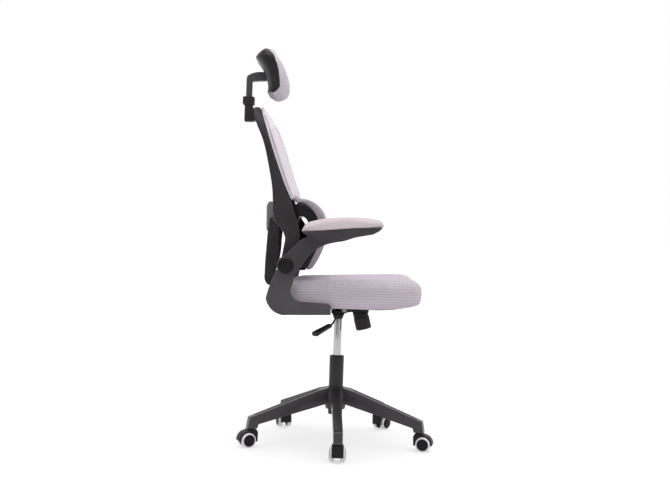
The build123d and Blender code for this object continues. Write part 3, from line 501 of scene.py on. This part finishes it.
def seat_pad():
    """The seat's cushion, from its recess for the board, around its side, to its top."""
    slack, corner = 0.005, 0.056
    low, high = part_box("seat_cushion")
    plan = rounded_rectangle(high.x - slack, high.y - slack, low.y + slack, corner)
    top = line((-278, 566), (-238, 567), (-200, 566), (-100, 562), (40, 556), (186, 548))
    under = line((-278, 502), (-268, 494), (-250, 489), (-200, 480), (-150, 475.5), (-108, 474),
                 (186, 474))
    below = ((110, 9.5), (32, 9.5), (29, 1), (20, 0), (10, 2), (3, 8), (0, 18))
    above = ((0, -32), (1, -23), (3, -17), (9, -9), (20, -3), (36, -1), (62, 0), (100, 0))
    rings = []
    for level, steps in ((under, below), (top, above)):
        for inward, rise in steps:
            ring = inset(plan, inward * MM)
            rings.append(np.column_stack((ring, level(ring[:, 1]) + rise * MM)))
    pad = closed_skin("seat_upholstery", rings, seat_fabric)
    swollen(pad, cap=0.008, voxel=0.0065, hold=lambda co: ramp(co[:, 2], 0.482, 0.512))
    mount(pad, ["seat_cushion"])


seat_pad()

# ---- brackets, back frame, foot bar and the armrests' bolts ----
for side in ("left", "right"):
    moulded(f"side_bracket_{side}", [f"bracket_{side}"], bracket_plastic, passes=9)
moulded("back_hoop", ["back_frame"], frame_plastic, voxel=0.003, passes=9)
crisp("spine_bar", ["foot_bar"], enamel, width=0.0006)
crisp("arm_bolts", ["arm_pivot_bolts"], zinc, width=0.0006)


# ---- back panel ----
ROWS = 90  # rings from the panel's foot to its top
EDGE_RADIUS = 0.034  # of the rounding from the side wall to the face, across X
SEAM_TURN = 0.30  # where on that rounding the sewn seam runs, in radians from the side
SEAM_SPREAD = 0.07
SEAM_DEPTH = 0.0022
PANEL_THICKNESS = 0.009
THINNEST = 0.011  # the panel is never taken to be shallower than this
HOLLOW = 0.30  # share of its depth by which the face dips in the middle
HOLLOW_MARGIN = 0.02  # strip along the panel's sides that doesn't dip

rear_edge = curve_through([(163, 819), (178, 850), (195, 890), (230, 985), (265, 1089),
                           (277, 1121)], ROWS) * MM
front_face = curve_through([(158, 820), (148, 828), (149, 843), (175, 915), (203, 1000),
                            (230, 1068), (252, 1098), (274, 1126)], ROWS) * MM
panel_half = line((800, 212), (820, 212), (950, 208), (1040, 195), (1090, 166), (1106, 140),
                  (1115, 115), (1121, 90), (1127, 60))


def back_panel():
    """Rings of constant height, each round the front of the panel and back behind it."""
    rings = []
    for (ys, zs), (yf, zf) in zip(rear_edge, front_face):
        width, depth = panel_half(zs), np.hypot(yf - ys, zf - zs)
        turn = np.linspace(0, pi / 2, 40)
        dip = SEAM_DEPTH * np.exp(-(((turn - SEAM_TURN) / SEAM_SPREAD) ** 2))
        edge = width - EDGE_RADIUS * (1 - np.cos(turn)) - dip * np.cos(turn)
        rim = np.sin(turn) - dip * np.sin(turn) / max(depth, THINNEST)
        flat = np.linspace(edge[-1], -edge[-1], 60)[1:-1]
        x = np.concatenate((edge, flat, -edge[::-1]))
        lift = np.concatenate((rim, np.ones(len(flat)), rim[::-1]))
        inside = np.clip((width - np.abs(x)) / EDGE_RADIUS, 0, 1)
        hollow = HOLLOW * np.clip(1 - (x / (width - HOLLOW_MARGIN)) ** 2, 0, 1) ** 1.5
        outer = lift * (1 - hollow)
        inner = np.maximum(outer - PANEL_THICKNESS / max(depth, THINNEST), 0)
        inner *= np.clip(inside * 1.6, 0, 1)
        share = np.concatenate((outer, inner[::-1]))
        around = np.concatenate((x, x[::-1]))
        rings.append(np.column_stack((around, ys + (yf - ys) * share, zs + (zf - zs) * share)))
    panel = closed_skin("back_upholstery", rings, back_fabric)
    smooth(panel, 60)
    mount(panel, ["back_mesh"])


def back_binding():
    """A narrow tape along the seam between the panel's side wall and its face."""
    sunk, half_width, half_height, sides = 0.0008, 0.0018, 0.0011, 12
    facing = np.array((0.0, -0.94, 0.34))
    climb = (rear_edge + (front_face - rear_edge) * sin(SEAM_TURN))[::3]
    left, right = ([(sign * (panel_half(z) - sunk), y, z) for y, z in climb] for sign in (1, -1))
    path = curve_through(left + right[::-1], 260)
    rings = []
    for k, here in enumerate(path):
        along = path[min(k + 1, len(path) - 1)] - path[max(k - 1, 0)]
        outward = np.cross(along, facing)
        outward /= np.linalg.norm(outward)
        wide = np.cross(outward, along)
        wide /= np.linalg.norm(wide)
        rings.append([here + wide * half_width * cos(a) + outward * half_height * sin(a)
                      for a in np.arange(0, tau, tau / sides)])
    tape = closed_skin("back_binding", rings, binding)
    smooth(tape, 60)
    mount(tape, [], nodes["back_mesh"]["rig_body"])


back_panel()
back_binding()


# ---- headrest and lumbar support ----
def soft_pad(name, source, fabric, face, hold_depth, shape=None):
    """A cushion swollen from its packed form. It keeps its place near the shell's face."""
    pad = copied(name, [source], fabric)
    modify(pad, "REMESH", mode="VOXEL", voxel_size=0.004)
    if shape:
        set_points(pad, shape(points(pad)))
    swollen(pad, cap=0.005, voxel=0.0045,
            hold=lambda co: ramp(face(co[:, 2]) - co[:, 1], 0.002, hold_depth))
    mount(pad, [source])


def head_crown(radius, least):
    return lambda co: crowned(co, 1, 2, head_face, head_half, radius, least=least)


head_face = line((1166, 262), (1172, 240), (1178, 225), (1190, 217), (1239, 223), (1292, 242),
                 (1314, 264))
head_half = line((1166, 98), (1170, 108), (1180, 122), (1195, 132.5), (1219, 138), (1265, 138),
                 (1290, 132), (1305, 121), (1314, 108), (1318, 98))
moulded("headrest_socket", ["headrest_holder"], frame_plastic, voxel=0.0016,
        passes=4)
moulded("headrest_stalk", ["headrest_post"], stalk_plastic, voxel=0.0018,
        passes=4)
crisp("headrest_hinge", ["headrest_pin"], chrome, width=0.0008)
moulded("headrest_back", ["headrest_shell"], shell_plastic, voxel=0.0022,
        passes=4, shape=head_crown(0.07, 0.3))
soft_pad("headrest_upholstery", "headrest_cushion", head_fabric, head_face, 0.014,
         shape=head_crown(0.055, 0.15))

SLIDER_GREY_FROM = 0.2  # the carrier's part behind this Y is the grey slider
lumbar_face = line((590, 113), (665, 77), (742, 75), (771, 86), (790, 102), (800, 118), (806, 148))
moulded("lumbar_back", ["lumbar_shell"], gloss_plastic, voxel=0.0028, passes=6)
slider = moulded("lumbar_slider", ["lumbar_carrier"], black_plastic)
slider.data.materials.append(grey_plastic)
for facet in slider.data.polygons:
    facet.material_index = int(facet.center.y > SLIDER_GREY_FROM)
soft_pad("lumbar_upholstery", "lumbar_pad", lumbar_fabric, lumbar_face, 0.010)


# ---- armrests ----
SLEEVE_HALF = 0.011  # the shell's middle, this far to each side, isn't squeezed
KEEL = 0.42  # share of the tray's width that is left along its lowest line
BLUNT = 0.002  # taken off the outline's half width, so that its ends close
arm_seam = line((-134, 738.5), (-34, 732.4), (62, 722.4), (118, 715.8))
arm_half = line((-136, 8), (-130, 18), (-120, 26), (-100, 35), (-60, 40), (40, 40), (85, 34),
                (105, 25), (116, 12), (120, 6))
arm_belly = line((-130, 738), (-118, 726), (-98, 715), (30, 690), (84, 696), (113, 716))
pad_gain = line((-138, 0), (-130, 1), (-118, 3), (-97, 4), (-60, 2), (20, 1), (60, 3), (96, 8),
                (118, 5), (121, 0))


def reach(co, low=0.697, high=0.712):
    """Draws the rear end out, above the arm."""
    start, gain = 0.06, 0.19
    co = co.copy()
    behind = np.maximum(co[:, 1] - start, 0)
    co[:, 1] += behind * gain * ramp(co[:, 2], low, high)
    return co


def arm_hull(co, centre):
    """Shapes the shell's tray like a boat's hull, narrow below and at both its ends."""
    co = co.copy()
    offset = co[:, 0] - centre
    y, z = co[:, 1], co[:, 2]
    edge, foot = arm_seam(y), arm_belly(y)
    rise = np.clip((z - foot) / np.maximum(edge - foot, 0.002), 0, 1)
    squeeze = KEEL + (1 - KEEL) * np.sqrt(rise)
    squeeze *= np.minimum(1, (arm_half(y) - BLUNT) / 0.036)
    free = np.maximum(np.abs(offset) - SLEEVE_HALF, 0)
    tray = ramp(-y, -0.113, -0.095)
    free *= 1 - tray + tray * squeeze
    co[:, 0] = centre + np.sign(offset) * (np.minimum(np.abs(offset), SLEEVE_HALF) + free)
    co[:, 2] += np.maximum(foot - z, 0) * ramp(-y, 0.0, 0.056)
    return reach(co)


def armrest(side):
    low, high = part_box(f"arm_{side}_pad")
    centre = (low.x + high.x) / 2
    moulded(f"arm_tray_{side}", [f"arm_{side}_shell"], arm_plastic, voxel=0.0024,
            passes=8, shape=lambda co: arm_hull(co, centre))
    pad = copied(f"arm_cushion_{side}", [f"arm_{side}_pad"], pad_fabric)
    modify(pad, "REMESH", mode="VOXEL", voxel_size=0.003)
    co = points(pad)
    offset = co[:, 0] - centre
    co[:, 0] = centre + offset * np.minimum(1, (arm_half(co[:, 1]) - BLUNT) / 0.040)
    rise = np.clip((co[:, 2] - arm_seam(co[:, 1])) / 0.014, 0, 1)
    co[:, 2] += pad_gain(co[:, 1]) * rise
    crown = crowned(co, 2, 1, arm_seam, arm_half, 0.030, centre, least=0.1)
    set_points(pad, reach(crown, 0, 0.001))
    swollen(pad, cap=0.003, voxel=0.004,
            hold=lambda co: ramp(co[:, 2] - arm_seam(co[:, 1]), 0.001, 0.008))
    mount(pad, [f"arm_{side}_pad"])
    crisp(f"arm_disc_{side}", [f"arm_{side}_cap"], wheel_plastic, width=0.0012,
          segments=3)


armrest("left")
armrest("right")

# ---- floor, light and camera ----
FLOOR_RADIUS = 60
floor_paint = Recipe("floor", 0.9, Emission_Color=(1, 1, 1, 1), Emission_Strength=0.62)
floor_paint.colours(floor_paint.noise(3.0), (146, 146, 147), (149, 149, 150))
rim = [(cos(k * tau / 64) * FLOOR_RADIUS, sin(k * tau / 64) * FLOOR_RADIUS, 0) for k in range(64)]
floor = make("studio_floor", rim, [tuple(range(64))], floor_paint.material)

# white surroundings, weaker towards -X, so that the sides facing that way are less bright
world = bpy.data.worlds.new("studio")
scene.world = world
world.use_nodes = True
sky = world.node_tree
towards = sky.nodes.new("ShaderNodeTexCoord").outputs["Generated"]
compass = sky.nodes.new("ShaderNodeSeparateXYZ")
fall_off = sky.nodes.new("ShaderNodeMapRange")
for socket, value in (("From Min", -0.9), ("From Max", 0.0), ("To Min", 0.7), ("To Max", 1.0)):
    fall_off.inputs[socket].default_value = value
backdrop = sky.nodes["Background"]
backdrop.inputs["Color"].default_value = (1, 1, 1, 1)
sky.links.new(towards, compass.inputs["Vector"])
sky.links.new(compass.outputs["X"], fall_off.inputs["Value"])
sky.links.new(fall_off.outputs["Result"], backdrop.inputs["Strength"])
scene.view_settings.view_transform = "Standard"

overhead = bpy.data.lights.new("overhead", "SUN")
overhead.energy, overhead.angle = 2.2, radians(60)
softbox = bpy.data.objects.new("overhead", overhead)
scene.collection.objects.link(softbox)
softbox.rotation_euler = Vector((0.12, 0.10, -1)).to_track_quat("-Z", "Y").to_euler()

# the camera looks along +X at the chair's right side, slightly down and rolled
PITCH, ROLL = radians(0.77), radians(1.9)
forward = Vector((cos(PITCH), 0, -sin(PITCH)))
level_right = Vector((0, -1, 0))
level_up = Vector((sin(PITCH), 0, cos(PITCH)))
up = cos(ROLL) * level_up - sin(ROLL) * level_right
right = cos(ROLL) * level_right + sin(ROLL) * level_up
lens = bpy.data.cameras.new("camera")
lens.lens, lens.sensor_width = 52.1, 36
camera = bpy.data.objects.new("camera", lens)
scene.collection.objects.link(camera)
camera.matrix_world = Matrix((right, up, -forward)).transposed().to_4x4()
camera.location = (-3.3, 0.0195, 0.735)
scene.camera = camera
